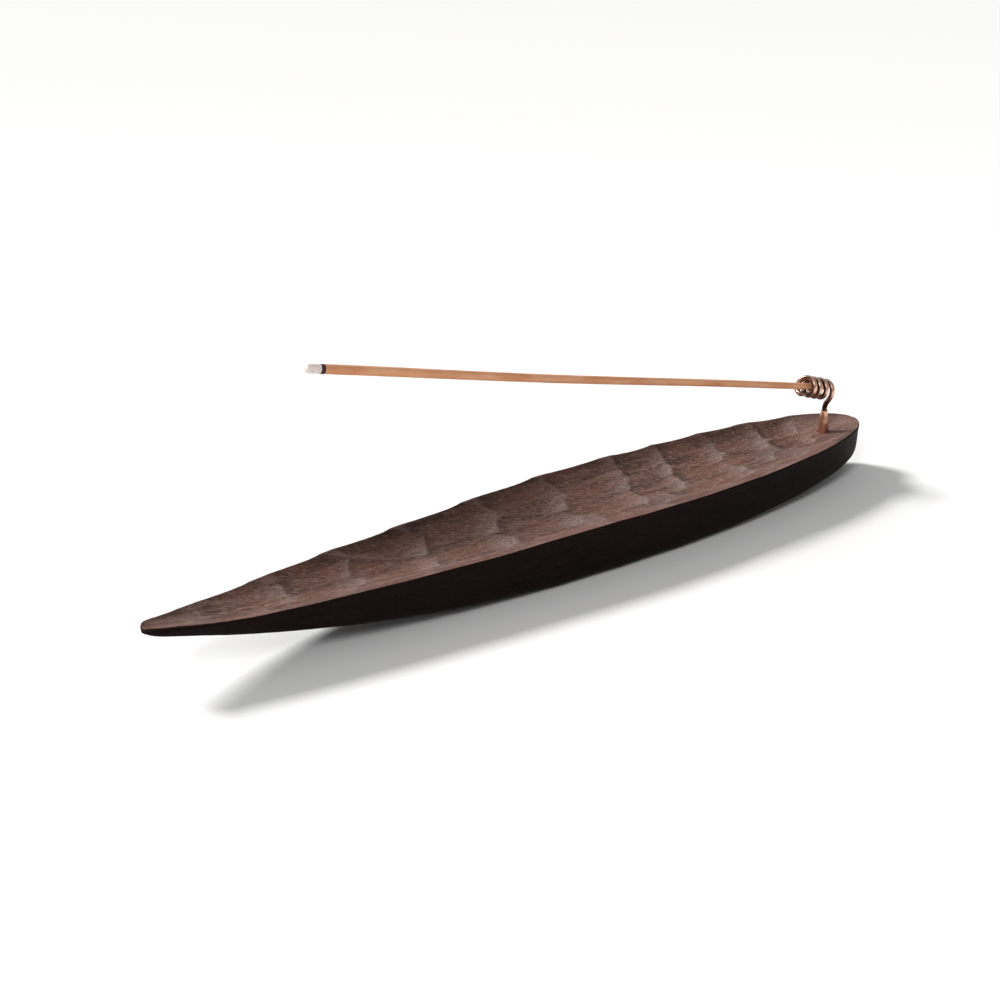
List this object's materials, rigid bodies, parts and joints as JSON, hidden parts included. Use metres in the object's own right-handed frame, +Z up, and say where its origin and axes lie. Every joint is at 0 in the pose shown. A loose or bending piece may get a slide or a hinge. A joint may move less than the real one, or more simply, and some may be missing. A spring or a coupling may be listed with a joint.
{
  "type": "incense burner",
  "caption": "Carved leaf-shaped wooden tray with a copper wire coil on a post that holds a burning incense stick out over it.",
  "frame": {"origin": "on the surface that the tray stands on, at the middle of the tray's length and width", "axes": "+X along the tray to its wide end where the holder stands, +Y across the tray, +Z up"},
  "size_m": [0.26, 0.044, 0.0749],
  "materials": {
    "carved_wood": "hand-carved, dark stained, dry and satin",
    "ferrule_copper": "copper, lightly tarnished",
    "wire_copper": "copper, handled and bright on its outer side",
    "incense_paste": "matt pressed incense paste",
    "charred_paste": "matt char",
    "ash": "matt crumbly ash"
  },
  "bodies": {
    "tray": {"tray": "carved_wood"},
    "ferrule": {"ferrule": "ferrule_copper"},
    "holder": {"coil_holder": "wire_copper"},
    "stick": {"incense_stick": "incense_paste", "char_band": "charred_paste", "ash_tip": "ash"}
  },
  "joints": [
    {"name": "ferrule_lift", "type": "slide", "parent": "tray", "child": "ferrule", "axis": [0, 0, 1], "range_m": [0, 0.0065]},
    {"name": "holder_turn", "type": "hinge", "parent": "ferrule", "child": "holder", "pos_m": [0.1157, 0, 0.0221], "axis": [0, 0, 1], "continuous": true},
    {"name": "stick_draw", "type": "slide", "parent": "holder", "child": "stick", "axis": [-0.9753, 0, 0.2207], "range_m": [0, 0.0115]}
  ]
}
